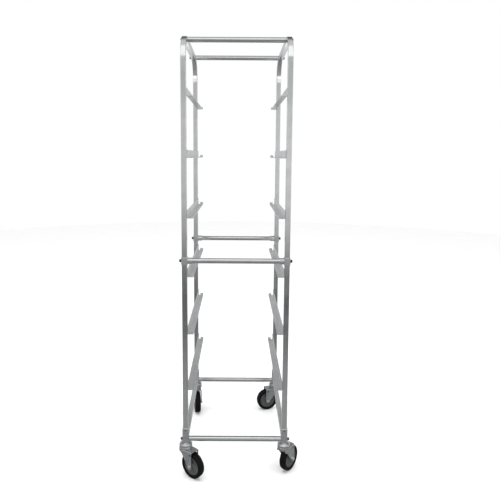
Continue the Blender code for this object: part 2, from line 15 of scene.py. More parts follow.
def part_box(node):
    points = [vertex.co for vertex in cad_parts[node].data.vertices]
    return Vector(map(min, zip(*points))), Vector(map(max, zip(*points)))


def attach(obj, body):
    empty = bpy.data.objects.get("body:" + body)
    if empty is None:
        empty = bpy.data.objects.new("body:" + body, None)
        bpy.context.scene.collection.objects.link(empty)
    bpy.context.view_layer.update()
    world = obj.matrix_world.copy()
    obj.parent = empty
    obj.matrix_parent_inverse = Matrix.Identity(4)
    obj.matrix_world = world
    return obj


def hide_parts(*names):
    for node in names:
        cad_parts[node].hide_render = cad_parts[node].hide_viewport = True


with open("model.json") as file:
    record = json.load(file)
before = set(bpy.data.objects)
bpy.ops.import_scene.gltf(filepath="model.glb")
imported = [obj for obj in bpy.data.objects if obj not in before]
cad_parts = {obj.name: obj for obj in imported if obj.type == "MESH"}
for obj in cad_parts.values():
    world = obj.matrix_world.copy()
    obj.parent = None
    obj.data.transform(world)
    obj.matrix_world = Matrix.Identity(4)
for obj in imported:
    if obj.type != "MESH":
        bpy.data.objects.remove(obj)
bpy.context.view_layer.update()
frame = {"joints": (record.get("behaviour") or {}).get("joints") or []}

MM = 0.001
SIDES = {"left": -1, "right": 1}
ENDS = {"front": -1, "rear": 1}
CORNERS = [f"{end}_{side}" for end in ENDS for side in SIDES]
LEVELS = range(1, 7)
BAR_KINDS = ("top", "middle", "bottom")


# ---- Nodes and materials ------------------------------------------------------

def linear(hex_colour):
    """An sRGB hex colour as the linear RGBA that Blender's sockets take."""
    parts = [int(hex_colour[i:i + 2], 16) / 255 for i in (1, 3, 5)]
    return (*[c / 12.92 if c <= 0.04045 else ((c + 0.055) / 1.055) ** 2.4 for c in parts], 1.0)


def add_node(tree, kind, links=None, **settings):
    """Adds a node. Each link is a socket name and either an output or a plain value."""
    made = tree.nodes.new(kind)
    for name, value in settings.items():
        setattr(made, name, value)
    for name, value in (links or {}).items():
        socket = made.inputs[name]
        if isinstance(value, bpy.types.NodeSocket):
            tree.links.new(value, socket)
        else:
            socket.default_value = value
    return made


def new_material(name):
    made = bpy.data.materials.new(name)
    made.use_nodes = True
    made.node_tree.nodes.clear()
    return made, made.node_tree


def finish_material(tree, shader):
    add_node(tree, "ShaderNodeOutputMaterial", {"Surface": shader.outputs["BSDF"]})


def ramp(tree, factor, stops):
    """A colour ramp from (position, hex colour) stops."""
    made = add_node(tree, "ShaderNodeValToRGB", {"Fac": factor})
    elements = made.color_ramp.elements
    while len(elements) < len(stops):
        elements.new(0.5)
    for element, (position, colour) in zip(elements, stops):
        element.position = position
        element.color = linear(colour)
    return made.outputs["Color"]


def drawn_aluminium(name, dark, light, rough_low, rough_high, line_width, line_length):
    """Extruded or drawn aluminium, left bare: die lines run along the length, with a
    thin uneven oxide bloom over them and a few handling scuffs."""
    made, tree = new_material(name)
    grain = add_node(tree, "ShaderNodeAttribute", attribute_name="grain").outputs["Vector"]
    place = add_node(tree, "ShaderNodeTexCoord").outputs["Object"]
    stretched = add_node(
        tree, "ShaderNodeMapping",
        {"Vector": grain, "Scale": (1 / line_length, 1 / line_width, 1.0)}).outputs["Vector"]
    lines = add_node(
        tree, "ShaderNodeTexNoise",
        {"Vector": stretched, "Scale": 1.0, "Detail": 3.0, "Roughness": 0.6}).outputs["Fac"]
    bloom = add_node(
        tree, "ShaderNodeTexNoise",
        {"Vector": place, "Scale": 1 / (55 * MM), "Detail": 4.0, "Roughness": 0.55}).outputs["Fac"]
    scuffed = add_node(
        tree, "ShaderNodeMapping",
        {"Vector": grain, "Rotation": (0.0, 0.0, 0.5),
         "Scale": (1 / (26 * MM), 1 / (1.1 * MM), 1.0)}).outputs["Vector"]
    scuffs = add_node(
        tree, "ShaderNodeTexNoise",
        {"Vector": scuffed, "Scale": 1.0, "Detail": 1.0, "Roughness": 0.5}).outputs["Fac"]
    scuff_mask = add_node(
        tree, "ShaderNodeMapRange",
        {"Value": scuffs, "From Min": 0.68, "From Max": 0.76, "To Min": 0.0,
         "To Max": 1.0}).outputs["Result"]
    both = add_node(
        tree, "ShaderNodeMath", {0: lines, 1: bloom}, operation="ADD").outputs["Value"]
    half = add_node(
        tree, "ShaderNodeMath", {0: both, 1: 0.5}, operation="MULTIPLY").outputs["Value"]
    colour = ramp(tree, half, [(0.36, dark), (0.64, light)])
    roughness = add_node(
        tree, "ShaderNodeMapRange",
        {"Value": half, "From Min": 0.36, "From Max": 0.64, "To Min": rough_high,
         "To Max": rough_low}).outputs["Result"]
    roughness = add_node(
        tree, "ShaderNodeMath", {0: scuff_mask, 1: 0.10, 2: roughness},
        operation="MULTIPLY_ADD").outputs["Value"]
    height = add_node(
        tree, "ShaderNodeMath", {0: scuff_mask, 1: -0.4, 2: lines},
        operation="MULTIPLY_ADD").outputs["Value"]
    bump = add_node(
        tree, "ShaderNodeBump",
        {"Height": height, "Strength": 0.22, "Distance": 0.05 * MM}).outputs["Normal"]
    shader = add_node(
        tree, "ShaderNodeBsdfPrincipled",
        {"Base Color": colour, "Metallic": 1.0, "Roughness": roughness, "Normal": bump})
    finish_material(tree, shader)
    return made


def grained_metal(name, dark, light, rough_low, rough_high, cloud, grain, depth):
    """Metal with no direction to it: clouds of tone and a fine grain in relief."""
    made, tree = new_material(name)
    place = add_node(tree, "ShaderNodeTexCoord").outputs["Object"]
    clouds = add_node(
        tree, "ShaderNodeTexNoise",
        {"Vector": place, "Scale": 1 / cloud, "Detail": 5.0, "Roughness": 0.6}).outputs["Fac"]
    fine = add_node(
        tree, "ShaderNodeTexNoise",
        {"Vector": place, "Scale": 1 / grain, "Detail": 2.0, "Roughness": 0.5}).outputs["Fac"]
    both = add_node(
        tree, "ShaderNodeMath", {0: fine, 1: 0.35, 2: clouds},
        operation="MULTIPLY_ADD").outputs["Value"]
    colour = ramp(tree, both, [(0.50, dark), (0.82, light)])
    roughness = add_node(
        tree, "ShaderNodeMapRange",
        {"Value": both, "From Min": 0.5, "From Max": 0.82, "To Min": rough_high,
         "To Max": rough_low}).outputs["Result"]
    bump = add_node(
        tree, "ShaderNodeBump",
        {"Height": fine, "Strength": 0.5, "Distance": depth}).outputs["Normal"]
    shader = add_node(
        tree, "ShaderNodeBsdfPrincipled",
        {"Base Color": colour, "Metallic": 1.0, "Roughness": roughness, "Normal": bump})
    finish_material(tree, shader)
    return made


def moulded(name, dark, light, rough_low, rough_high, grain, depth, shine):
    """Rubber or plastic from a mould: a fine texture, with patches of dust."""
    made, tree = new_material(name)
    place = add_node(tree, "ShaderNodeTexCoord").outputs["Object"]
    dust = add_node(
        tree, "ShaderNodeTexNoise",
        {"Vector": place, "Scale": 1 / (16 * MM), "Detail": 5.0, "Roughness": 0.65}).outputs["Fac"]
    skin = add_node(
        tree, "ShaderNodeTexNoise",
        {"Vector": place, "Scale": 1 / grain, "Detail": 2.0, "Roughness": 0.5}).outputs["Fac"]
    colour = ramp(tree, dust, [(0.42, dark), (0.74, light)])
    roughness = add_node(
        tree, "ShaderNodeMapRange",
        {"Value": dust, "From Min": 0.40, "From Max": 0.72, "To Min": rough_low,
         "To Max": rough_high}).outputs["Result"]
    bump = add_node(
        tree, "ShaderNodeBump",
        {"Height": skin, "Strength": 0.4, "Distance": depth}).outputs["Normal"]
    shader = add_node(
        tree, "ShaderNodeBsdfPrincipled",
        {"Base Color": colour, "Roughness": roughness, "Normal": bump,
         "Specular IOR Level": shine})
    finish_material(tree, shader)
    return made


def make_finishes():
    return {
        # 6063 square tube as extruded. Real die lines are 0.1 mm wide; these are 1.4 mm.
        "tube": drawn_aluminium(
            "extruded_aluminium_tube", "#DEE0E1", "#E9EAEB", 0.15, 0.24, 1.4 * MM, 260 * MM),
        # Extruded angle, a little brighter where pans have rubbed it.
        "runner": drawn_aluminium(
            "extruded_aluminium_angle", "#E0E2E3", "#EEEFF0", 0.30, 0.44, 1.2 * MM, 180 * MM),
        # Cold drawn round tube is smoother than extrusion, so it mirrors more.
        "bar": drawn_aluminium(
            "drawn_aluminium_bar", "#CED0D1", "#DADCDD", 0.13, 0.21, 1.0 * MM, 220 * MM),
        # Die-cast fittings, tumbled: an orange-peel skin of about 1.5 mm.
        "cast": grained_metal(
            "tumbled_cast_aluminium", "#CBCDCE", "#E2E3E4", 0.30, 0.46, 18 * MM, 1.5 * MM,
            0.10 * MM),
        # Weld metal with its ripples, matt beside the tube.
        "weld": grained_metal(
            "aluminium_weld_metal", "#A9ABAD", "#C9CBCC", 0.34, 0.50, 6 * MM, 0.8 * MM,
            0.06 * MM),
        # Bright zinc on stamped steel: blue-grey clouds a couple of centimetres across.
        "zinc": grained_metal(
            "bright_zinc_plate", "#B2B5B8", "#D6D8D9", 0.24, 0.38, 20 * MM, 1.1 * MM,
            0.04 * MM),
        # The same plate on the turned axle ends, where it is smoother. Its lighter colour is a
        # painted highlight on the axle ends.
        "zinc_painted_highlight": grained_metal(
            "zinc_axle_painted_highlight", "#D4D6D8", "#ECEDEE", 0.16, 0.28, 8 * MM, 0.9 * MM,
            0.02 * MM),
        # Zinc with a dark passivate on the fasteners.
        "dark_zinc": grained_metal(
            "dark_zinc_fastener", "#3C3D3F", "#5B5C5E", 0.30, 0.45, 5 * MM, 0.7 * MM,
            0.03 * MM),
        # Moulded black rubber: nearly matt, greyer where it has picked up flour and dust.
        "rubber": moulded(
            "black_rubber_tread", "#030303", "#0B0B0B", 0.50, 0.74, 0.9 * MM, 0.08 * MM, 0.22),
        # Moulded polyolefin core, charcoal, with the low sheen of its mould.
        "core": moulded(
            "charcoal_plastic_core", "#424344", "#555657", 0.40, 0.56, 0.7 * MM, 0.04 * MM, 0.4),
    }


# ---- Making pieces --------------------------------------------------------------

def finished(shape, name, finish, body, replaced=(), smooth_angle=32, bevel=None):
    """The bmesh as a piece of the rack that rides a body and stands for CAD nodes."""
    mesh = bpy.data.meshes.new(name)
    bmesh.ops.remove_doubles(shape, verts=shape.verts, dist=1e-6)
    bmesh.ops.recalc_face_normals(shape, faces=shape.faces)
    shape.to_mesh(mesh)
    shape.free()
    mesh.materials.append(finish)
    piece = bpy.data.objects.new(name, mesh)
    bpy.context.scene.collection.objects.link(piece)
    if bevel:
        edges = piece.modifiers.new("rounded edges", "BEVEL")
        edges.width = bevel
        edges.segments = 2
        edges.limit_method = "ANGLE"
        edges.angle_limit = math.radians(38)
        edges.harden_normals = False
    mesh.shade_smooth()
    mesh.set_sharp_from_angle(angle=math.radians(180 if bevel else smooth_angle))
    normals = piece.modifiers.new("flat faces stay flat", "WEIGHTED_NORMAL")
    normals.keep_sharp = True
    normals.weight = 90
    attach(piece, body)
    if replaced:
        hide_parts(*replaced)
    return piece


def mark_grain(piece, along):
    """Stores how far along and across the piece each point lies, in metres."""
    marks = piece.data.attributes.new("grain", "FLOAT_VECTOR", "POINT")
    for vertex, mark in zip(piece.data.vertices, marks.data):
        mark.vector = (*along(vertex.co), 0.0)


def moved(shape, vector, verts=None):
    bmesh.ops.translate(shape, vec=vector, verts=verts or shape.verts)
    return shape


def placed(shape, matrix):
    bmesh.ops.transform(shape, matrix=matrix, verts=shape.verts)
    return shape


def box_shape(low, high):
    shape = bmesh.new()
    low, high = Vector(low), Vector(high)
    bmesh.ops.create_cube(shape, size=1.0)
    bmesh.ops.scale(shape, vec=high - low, verts=shape.verts)
    return moved(shape, (low + high) / 2)


def rod_shape(radius, start, end, segments=32):
    """A closed cylinder whose axis runs from start to end."""
    start, end = Vector(start), Vector(end)
    turn = (end - start).to_track_quat("Z", "Y").to_matrix().to_4x4()
    shape = bmesh.new()
    bmesh.ops.create_cone(
        shape, cap_ends=True, segments=segments, radius1=radius, radius2=radius,
        depth=(end - start).length, matrix=Matrix.Translation((start + end) / 2) @ turn)
    return shape


def turned(profile, segments=64, closed=False):
    """A profile of (radius, height) points turned round +Z."""
    shape = bmesh.new()
    points = [shape.verts.new((radius, 0.0, height)) for radius, height in profile]
    following = points[1:] + points[:1] if closed else points[1:]
    edges = [shape.edges.new(pair) for pair in zip(points, following)]
    bmesh.ops.spin(
        shape, geom=points + edges, cent=(0, 0, 0), axis=(0, 0, 1),
        angle=2 * math.pi, steps=segments, use_merge=True)
    bmesh.ops.remove_doubles(shape, verts=shape.verts, dist=1e-6)
    return shape


def bevel_edges(shape, edges, radius, segments):
    bmesh.ops.bevel(
        shape, geom=edges, offset=radius, offset_type="OFFSET", affect="EDGES",
        segments=segments, profile=0.5, material=-1)


def edges_along(shape, direction):
    direction = Vector(direction)
    return [
        edge for edge in shape.edges
        if abs((edge.verts[0].co - edge.verts[1].co).normalized().dot(direction)) > 0.999]


def combined(shape, other, operation):
    """Joins another bmesh to this one, cuts it away, or keeps what both hold."""
    objects = []
    for part in (shape, other):
        bmesh.ops.recalc_face_normals(part, faces=part.faces)
        mesh = bpy.data.meshes.new("tool")
        part.to_mesh(mesh)
        part.free()
        objects.append(bpy.data.objects.new("tool", mesh))
        bpy.context.scene.collection.objects.link(objects[-1])
    modifier = objects[0].modifiers.new("combine", "BOOLEAN")
    modifier.operation = operation
    modifier.object = objects[1]
    modifier.solver = "EXACT"
    bpy.context.view_layer.update()
    graph = bpy.context.evaluated_depsgraph_get()
    made = bpy.data.meshes.new_from_object(objects[0].evaluated_get(graph), depsgraph=graph)
    result = bmesh.new()
    result.from_mesh(made)
    for item in objects:
        mesh = item.data
        bpy.data.objects.remove(item)
        bpy.data.meshes.remove(mesh)
    bpy.data.meshes.remove(made)
    bmesh.ops.remove_doubles(result, verts=result.verts, dist=5e-6)
    return result


def pulled_out(shape, faces):
    """Extrudes the faces in place, and returns the new faces and their corners."""
    edges = {edge for face in faces for edge in face.edges}
    made = bmesh.ops.extrude_face_region(shape, geom=[*faces, *edges])["geom"]
    ends = [item for item in made if isinstance(item, bmesh.types.BMFace)]
    verts = [item for item in made if isinstance(item, bmesh.types.BMVert)]
    return ends, verts


def extruded(shape, faces, vector):
    faces, verts = pulled_out(shape, faces)
    bmesh.ops.translate(shape, vec=vector, verts=verts)
    return faces


def bent(shape, faces, centre, angle, steps):
    """Carries an open end round a bend about an X axis through the centre."""
    for _ in range(steps):
        faces, verts = pulled_out(shape, faces)
        bmesh.ops.rotate(
            shape, cent=centre, matrix=Matrix.Rotation(angle / steps, 3, "X"), verts=verts)
    return faces


# ---- Side frames and rails ------------------------------------------------------

TUBE_CORNER = 2.6 * MM
BEND_RADIUS = 102 * MM
BEND_STEPS = 22


def tube_end(shape, size):
    """The outside of the square tube, cut across, as one face round the origin."""
    bmesh.ops.create_grid(shape, x_segments=1, y_segments=1, size=size / 2)
    bmesh.ops.bevel(
        shape, geom=list(shape.verts), offset=TUBE_CORNER, offset_type="OFFSET",
        affect="VERTICES", segments=4, profile=0.5, material=-1)
    return list(shape.faces)


def make_side_frame(side, finish):
    low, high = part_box(f"side_frame_{side}")
    tube = high.x - low.x
    x = (low.x + high.x) / 2
    front_leg, rear_leg = low.y + tube / 2, high.y - tube / 2
    top = high.z - tube / 2
    bend_bottom = top - BEND_RADIUS
    front, rear = front_leg + BEND_RADIUS, rear_leg - BEND_RADIUS
    shape = bmesh.new()
    end = tube_end(shape, tube)
    moved(shape, (x, front_leg, low.z))
    end = extruded(shape, end, (0, 0, bend_bottom - low.z))
    end = bent(shape, end, (x, front, bend_bottom), -math.pi / 2, BEND_STEPS)
    end = extruded(shape, end, (0, rear - front, 0))
    end = bent(shape, end, (x, rear, bend_bottom), -math.pi / 2, BEND_STEPS)
    extruded(shape, end, (0, 0, low.z - bend_bottom))

    def along(co):
        if co.z <= bend_bottom:
            leg = front_leg if co.y < front else rear_leg
            return co.z, co.x - x + co.y - leg
        if front <= co.y <= rear:
            return bend_bottom + BEND_RADIUS * math.pi / 2 + co.y - front, co.x - x + co.z - top
        centre = front if co.y < front else rear
        out, up = abs(co.y - centre), co.z - bend_bottom
        run = bend_bottom + BEND_RADIUS * math.atan2(up, out)
        return run, co.x - x + math.hypot(out, up) - BEND_RADIUS

    piece = finished(
        shape, f"frame_tube_{side}", finish, "rack", [f"side_frame_{side}"])
    mark_grain(piece, along)


def make_side_rail(side, finish):
    low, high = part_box(f"side_rail_{side}")
    tube = high.x - low.x
    centre = (low + high) / 2
    shape = bmesh.new()
    end = tube_end(shape, tube)
    extruded(shape, end, (0, 0, high.y - low.y))
    bmesh.ops.rotate(
        shape, cent=(0, 0, 0), matrix=Matrix.Rotation(-math.pi / 2, 3, "X"), verts=shape.verts)
    moved(shape, (centre.x, low.y, centre.z))
    piece = finished(shape, f"rail_tube_{side}", finish, "rack", [f"side_rail_{side}"])
    mark_grain(piece, lambda co: (co.y, co.x - centre.x + co.z - centre.z))


# ---- Runners --------------------------------------------------------------------

ANGLE_THICKNESS = 3 * MM
STOP_NOTCH = 9 * MM
STOP_HEIGHT = 12 * MM


def make_runner(level, side, finish):
    """An extruded angle with a rounded heel and toes, its ledge bent up at the rear."""
    low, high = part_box(f"runner_{level}_{side}")
    ledge, flange, length = high.x - low.x, high.z - low.z, high.y - low.y
    thick = ANGLE_THICKNESS
    shape = bmesh.new()
    outline = [
        (0, 0), (ledge, 0), (ledge, thick), (thick, thick), (thick, flange), (0, flange)]
    corners = [shape.verts.new((x, 0.0, z)) for x, z in outline]
    shape.faces.new(corners)
    for corner, radius in ((corners[0], thick), (corners[3], 1.6 * MM)):
        bmesh.ops.bevel(
            shape, geom=[corner], offset=radius, offset_type="OFFSET", affect="VERTICES",
            segments=5, profile=0.5, material=-1)
    extruded(shape, list(shape.faces), (0, length, 0))
    stop = box_shape(
        (thick + STOP_NOTCH, length - thick, thick / 2), (ledge, length, thick + STOP_HEIGHT))
    top_corners = [
        edge for edge in edges_along(stop, (0, 1, 0))
        if edge.verts[0].co.z > thick]
    bevel_edges(stop, top_corners, 3 * MM, 4)
    shape = combined(shape, stop, "UNION")
    if side == "right":
        placed(shape, Matrix.Scale(-1, 4, (1, 0, 0)))
    moved(shape, (low.x if side == "left" else high.x, low.y, low.z))
    piece = finished(
        shape, f"runner_angle_{level}_{side}", finish, "rack",
        [f"runner_{level}_{side}"], bevel=0.5 * MM)
    mark_grain(piece, lambda co: (co.y, co.x + co.z))


def weld_bead(start, end, radius, ripples):
    """A fillet bead: a rod drawn out in ripples, tapering at both its ends."""
    start, end = Vector(start), Vector(end)
    axis = end - start
    shape = rod_shape(radius, start, end, 10)
    long_edges = edges_along(shape, axis.normalized())
    bmesh.ops.subdivide_edges(shape, edges=long_edges, cuts=ripples * 4 - 1, use_grid_fill=False)
    for vert in shape.verts:
        t = (vert.co - start).dot(axis) / axis.length_squared
        on_axis = start + axis * t
        taper = min(1.0, 0.35 + 5.0 * min(t, 1 - t))
        swell = 1.0 + 0.16 * abs(math.sin(math.pi * ripples * t))
        vert.co = on_axis + (vert.co - on_axis) * taper * swell
    return shape


WELD_RADIUS = 1.7 * MM
WELD_REACH = 8.5 * MM          # half of a bead's length
WELD_RIPPLES = 7
WELD_SINK = 0.2 * MM           # the bead's axis, behind the runner's back
LOWER_WELD_RISE = 2.2 * MM


def make_runner_welds(side, finish):
    """Short fillets that hold each runner's flange to the legs, above and below it."""
    frame_low, frame_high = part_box(f"side_frame_{side}")
    half_tube = (frame_high.x - frame_low.x) / 2
    whole = bmesh.new()
    for level in LEVELS:
        low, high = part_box(f"runner_{level}_{side}")
        back = low.x if side == "left" else high.x
        x = back - SIDES[side] * WELD_SINK
        for y in (frame_low.y + half_tube, frame_high.y - half_tube):
            for z in (high.z, low.z + LOWER_WELD_RISE):
                bead = weld_bead(
                    (x, y - WELD_REACH, z), (x, y + WELD_REACH, z), WELD_RADIUS, WELD_RIPPLES)
                mesh = bpy.data.meshes.new("bead")
                bead.to_mesh(mesh)
                bead.free()
                whole.from_mesh(mesh)
                bpy.data.meshes.remove(mesh)
    finished(whole, f"runner_welds_{side}", finish, "rack", smooth_angle=60)


# ---- Cross bars, saddles and bolts ------------------------------------------------

def make_bar(kind, end, finish):
    low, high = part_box(f"{kind}_bar_{end}")
    centre = (low + high) / 2
    radius, half = (high.z - low.z) / 2, (high.x - low.x) / 2
    chamfer = 0.6 * MM
    shape = turned(
        [(0.0, half), (radius - chamfer, half), (radius, half - chamfer),
         (radius, chamfer - half), (radius - chamfer, -half), (0.0, -half)])
    placed(shape, Matrix.Translation(centre) @ Matrix.Rotation(math.pi / 2, 4, "Y"))
    piece = finished(shape, f"bar_{kind}_{end}", finish, "rack", [f"{kind}_bar_{end}"])
    mark_grain(piece, lambda co: (
        co.x, radius * math.atan2(abs(co.y - centre.y), co.z - centre.z)))


def make_saddle(corner, finish):
    """The cast collar round a leg, with a flared round socket for the bar's end."""
    side = corner.split("_")[1]
    low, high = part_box(f"saddle_{corner}")
    depth = high.y - low.y
    height = high.z - low.z
    reach = high.x - low.x - depth / 2
    centre = Vector((low.x + depth / 2 if side == "left" else high.x - depth / 2,
                     (low.y + high.y) / 2, (low.z + high.z) / 2))
    collar = box_shape((-depth / 2, -depth / 2, -height / 2), (depth / 2, depth / 2, height / 2))
    bevel_edges(collar, edges_along(collar, (0, 0, 1)), 5.0 * MM, 5)
    rims = [
        edge for edge in collar.edges
        if abs(edge.verts[0].co.z - edge.verts[1].co.z) < 1e-6]
    bevel_edges(collar, rims, 1.4 * MM, 3)
    mouth, bore = 15.5 * MM, 13.1 * MM
    waist, bottom = mouth - 0.2 * MM, depth / 2 + 2 * MM
    socket = turned(
        [(0.0, 0.0), (mouth, 0.0), (mouth, depth / 2), (waist, reach - 7 * MM),
         (waist, reach - 5 * MM), (mouth, reach - 4 * MM), (mouth, reach - 1 * MM),
         (mouth - 0.8 * MM, reach), (bore, reach), (bore, bottom), (0.0, bottom)], 48)
    placed(socket, Matrix.Rotation(math.pi / 2, 4, "Y"))
    shape = combined(collar, socket, "UNION")
    if side == "right":
        placed(shape, Matrix.Rotation(math.pi, 4, "Z"))
    moved(shape, centre)
    finished(
        shape, f"saddle_casting_{corner}", finish, "rack", [f"saddle_{corner}"],
        smooth_angle=40)


def hexagon_head(radius, height):
    """A hexagon head along +Z with the chamfer turned on its outer corners."""
    head = rod_shape(radius, (0, 0, 0), (0, 0, height), 6)
    cone = turned(
        [(0.0, -1 * MM), (radius * 1.3, -1 * MM), (radius * 1.02, height * 0.72),
         (radius * 0.84, height), (0.0, height)], 48)
    return combined(head, cone, "INTERSECT")


BOLT_HEAD_RADIUS = 7.2 * MM
BOLT_HEAD_HEIGHT = 8.0 * MM
BOLT_SHANK_RADIUS = 3.9 * MM
BOLT_SHANK = 30 * MM
WASHER = 1.6 * MM
WASHER_RADIUS = 9.2 * MM


def make_bolt(kind, corner, finish):
    """A hexagon head on its washer. The shank is inside the tube and the bar."""
    node = f"bolt_{kind}_{corner}"
    side = corner.split("_")[1]
    low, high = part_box(node)
    outer = low.x if side == "left" else high.x
    centre = Vector((outer, (low.y + high.y) / 2, (low.z + high.z) / 2))
    under_head = -BOLT_HEAD_HEIGHT
    seat = under_head - WASHER
    end, neck, chamfer = seat - BOLT_SHANK, under_head + 1 * MM, 0.4 * MM
    head = hexagon_head(BOLT_HEAD_RADIUS, BOLT_HEAD_HEIGHT)
    moved(head, (0, 0, under_head))
    rest = turned(
        [(0.0, end), (BOLT_SHANK_RADIUS, end), (BOLT_SHANK_RADIUS, seat),
         (WASHER_RADIUS, seat), (WASHER_RADIUS, under_head - chamfer),
         (WASHER_RADIUS - chamfer, under_head), (6.5 * MM, under_head), (5.0 * MM, neck),
         (0.0, neck)], 32)
    shape = combined(head, rest, "UNION")
    turn = Matrix.Rotation(SIDES[side] * math.pi / 2, 4, "Y")
    placed(shape, Matrix.Translation(centre) @ turn @ Matrix.Rotation(0.4, 4, "Z"))
    finished(
        shape, f"hex_bolt_{kind}_{corner}", finish, "rack", [node], smooth_angle=30)


# ---- Leg sockets and casters ------------------------------------------------------

def make_leg_socket(corner, finish, rivet_finish):
    """A square sleeve with a chamfered mouth, and the rivet through its outer face."""
    end = corner.split("_")[0]
    low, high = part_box(f"leg_socket_{corner}")
    shape = box_shape(low, high)
    bevel_edges(shape, edges_along(shape, (0, 0, 1)), 4 * MM, 5)
    for level, radius, segments in ((high.z, 2.4 * MM, 3), (low.z, 1 * MM, 2)):
        rim = [
            edge for edge in shape.edges
            if all(abs(vert.co.z - level) < 1e-6 for vert in edge.verts)]
        bevel_edges(shape, rim, radius, segments)
    finished(
        shape, f"leg_sleeve_{corner}", finish, "rack", [f"leg_socket_{corner}"],
        smooth_angle=50)
    face = low.y if end == "front" else high.y
    head = turned(
        [(0.0, -0.4 * MM), (3.2 * MM, -0.4 * MM), (3.2 * MM, 0.3 * MM), (2.6 * MM, 1.0 * MM),
         (1.4 * MM, 1.4 * MM), (0.0, 1.5 * MM)], 24)
    turn = Matrix.Rotation(-ENDS[end] * math.pi / 2, 4, "X")
    place = Vector(((low.x + high.x) / 2, face, high.z - 10 * MM))
    placed(head, Matrix.Translation(place) @ turn)
    finished(head, f"sleeve_rivet_{corner}", rivet_finish, "rack")


def caster_places(corner):
    """Where a caster is: its leg's axis as a matrix, its heading (+X from the swivel axis
    to the axle) as another, and how far ahead and how high the axle is."""
    swivel = next(j for j in frame["joints"] if j["name"] == f"caster_swivel_{corner}")
    spin = next(j for j in frame["joints"] if j["name"] == f"wheel_spin_{corner}")
    leg = Vector(swivel["pos_m"])
    axle = Vector(spin["pos_m"])
    leg.z = 0.0
    ahead = Vector((axle.x - leg.x, axle.y - leg.y, 0.0))
    turn = Matrix.Rotation(math.atan2(ahead.y, ahead.x), 4, "Z")
    heading = Matrix.Translation(leg) @ turn
    return Matrix.Translation(leg), heading, ahead.length, axle.z


def make_caster_top(corner, finish):
    """Domed upper raceway and kingpin. A dark slot shows above the lower raceway."""
    leg = caster_places(corner)[0]
    # Radius and height above the floor in mm: dome, dust slot, raceway, pin and its head.
    profile = [
        (0.0, 171.7), (16.5, 171.7), (18.0, 171.1), (24.0, 168.2), (28.6, 165.7),
        (30.8, 163.9), (32.1, 161.6), (32.5, 158.8), (32.5, 153.4), (31.9, 152.4),
        (30.9, 151.9), (30.7, 151.0), (31.4, 150.4), (32.4, 149.6), (32.5, 148.4),
        (32.5, 143.2), (32.0, 141.6), (31.0, 141.1), (6.0, 141.1), (6.0, 136.8),
        (8.5, 136.8), (8.5, 133.9), (7.9, 133.4), (0.0, 133.4)]
    shape = placed(turned([(r * MM, z * MM) for r, z in profile]), leg)
    finished(
        shape, f"caster_raceway_{corner}", finish, "rack",
        [f"caster_stem_{corner}"], smooth_angle=40)


def rounded(points, radii, steps=6):
    """The outline's corners cut by arcs, with one radius for each point."""
    result = []
    count = len(points)
    for i, (here, radius) in enumerate(zip(points, radii)):
        here = Vector(here)
        if not radius:
            result.append(here)
            continue
        before = (Vector(points[i - 1]) - here).normalized()
        after = (Vector(points[(i + 1) % count]) - here).normalized()
        half = before.angle(after) / 2
        centre = here + (before + after).normalized() * (radius / math.sin(half))
        first = here + before * (radius / math.tan(half)) - centre
        last = here + after * (radius / math.tan(half)) - centre
        for step in range(steps + 1):
            arm = first.slerp(last, step / steps)
            result.append(centre + arm.normalized() * radius)
    return result


FORK_SHEET = 3.0 * MM
FORK_INNER = 23.5 * MM          # half the width between the cheeks
FORK_OUTER = FORK_INNER + FORK_SHEET
FORK_TOP = 140.5 * MM           # above the floor, as are the heights below
FORK_BOSS = 12 * MM             # radius of a cheek round the axle
CROWN_RADIUS = 34 * MM
CHEEK_WAIST = (-6 * MM, 118.5 * MM)
CHEEK_HOLE = (5.0 * MM, 124 * MM)      # radius and height
AXLE_HOLE_RADIUS = 6.1 * MM
PIN_HOLE_RADIUS = 6.5 * MM
RACEWAY_RADIUS = 32.5 * MM


def fork_channel(start, stop, low):
    """The sheet bent down over the wheel, before its outline is stamped."""
    under = FORK_TOP - FORK_SHEET
    section = rounded(
        [(-FORK_OUTER, low), (-FORK_OUTER, FORK_TOP), (FORK_OUTER, FORK_TOP),
         (FORK_OUTER, low), (FORK_INNER, low), (FORK_INNER, under), (-FORK_INNER, under),
         (-FORK_INNER, low)],
        [0, 5.5 * MM, 5.5 * MM, 0, 0, 2.5 * MM, 2.5 * MM, 0])
    channel = bmesh.new()
    channel.faces.new([channel.verts.new((start, y, z)) for y, z in section])
    extruded(channel, list(channel.faces), (stop - start, 0, 0))
    return channel


def cheek_profile(offset, axle_z):
    """The fork's outline from the side: a waist, and a round end about the axle."""
    reach = Vector((offset, axle_z)) - Vector(CHEEK_WAIST)
    first = math.atan2(reach.y, reach.x) - math.asin(FORK_BOSS / reach.length) - math.pi / 2
    arc = [first * (1 - step / 10) for step in range(11)]
    foot = [(offset + FORK_BOSS * math.cos(a), axle_z + FORK_BOSS * math.sin(a)) for a in arc]
    above = FORK_TOP + FORK_SHEET
    outline = rounded(
        [(-CROWN_RADIUS, above), (-CROWN_RADIUS, FORK_TOP - 2 * FORK_SHEET), CHEEK_WAIST,
         *foot, (offset + FORK_BOSS, above)],
        [0, 1.5 * MM, 14 * MM] + [0] * (len(foot) + 1))
    profile = bmesh.new()
    profile.faces.new([profile.verts.new((p.x, -2 * FORK_OUTER, p.y)) for p in outline])
    extruded(profile, list(profile.faces), (0, 4 * FORK_OUTER, 0))
    return profile


def crown_plan(stop):
    """The fork's outline from above: a half circle behind the swivel axis."""
    plan = [(stop, -CROWN_RADIUS), (stop, CROWN_RADIUS)]
    for step in range(25):
        angle = math.pi * (0.5 + step / 24)
        plan.append((CROWN_RADIUS * math.cos(angle), CROWN_RADIUS * math.sin(angle)))
    block = bmesh.new()
    block.faces.new([block.verts.new((x, y, 0.0)) for x, y in plan])
    extruded(block, list(block.faces), (0, 0, FORK_TOP + FORK_SHEET))
    return block


